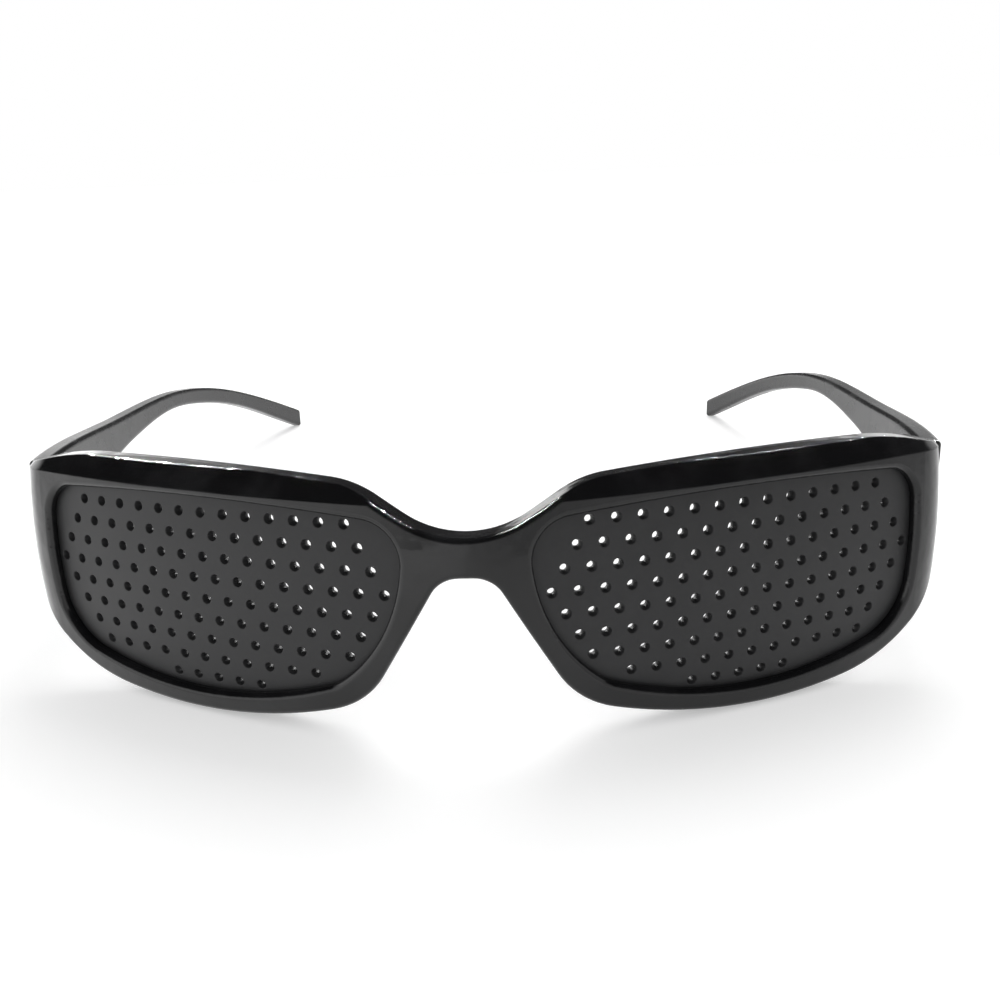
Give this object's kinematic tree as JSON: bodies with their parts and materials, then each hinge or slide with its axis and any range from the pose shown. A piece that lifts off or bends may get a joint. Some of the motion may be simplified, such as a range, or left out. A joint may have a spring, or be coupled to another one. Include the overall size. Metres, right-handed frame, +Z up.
{
  "type": "pinhole glasses",
  "caption": "Wraparound pinhole glasses: a one-piece front holds two perforated opaque plates, and two hinged temples fold in behind it.",
  "frame": {"origin": "centre of the footprint at table height, with the open glasses resting on their lower rims and temple tips", "axes": "+X to the right of someone who faces the front of the glasses, +Y from the front back to the temple tips, +Z up"},
  "size_m": [0.1532, 0.1462, 0.0372],
  "materials": {
    "frame_plastic": "polished black",
    "lens_plastic": "satin black, opaque",
    "temple_plastic": "polished black",
    "hinge_metal": "fine brushed",
    "screw_metal": "bright"
  },
  "bodies": {
    "front": {"front_frame": "frame_plastic", "pinhole_lens_right": "lens_plastic", "pinhole_lens_left": "lens_plastic", "front_hinge_leaf_right": "hinge_metal", "front_hinge_leaf_left": "hinge_metal", "hinge_screw_right": "screw_metal", "hinge_screw_left": "screw_metal"},
    "right_temple": {"temple_right": "temple_plastic", "temple_hinge_leaf_right": "hinge_metal"},
    "left_temple": {"temple_left": "temple_plastic", "temple_hinge_leaf_left": "hinge_metal"}
  },
  "joints": [
    {"name": "temple_right_fold", "type": "hinge", "parent": "front", "child": "right_temple", "pos_m": [0.06736, -0.04548, 0.02337], "axis": [0, 0.1757, 0.9844], "range_deg": [0, 90]},
    {"name": "temple_left_fold", "type": "hinge", "parent": "front", "child": "left_temple", "pos_m": [-0.06736, -0.04548, 0.02337], "axis": [0, -0.1757, -0.9844], "range_deg": [0, 84]}
  ]
}
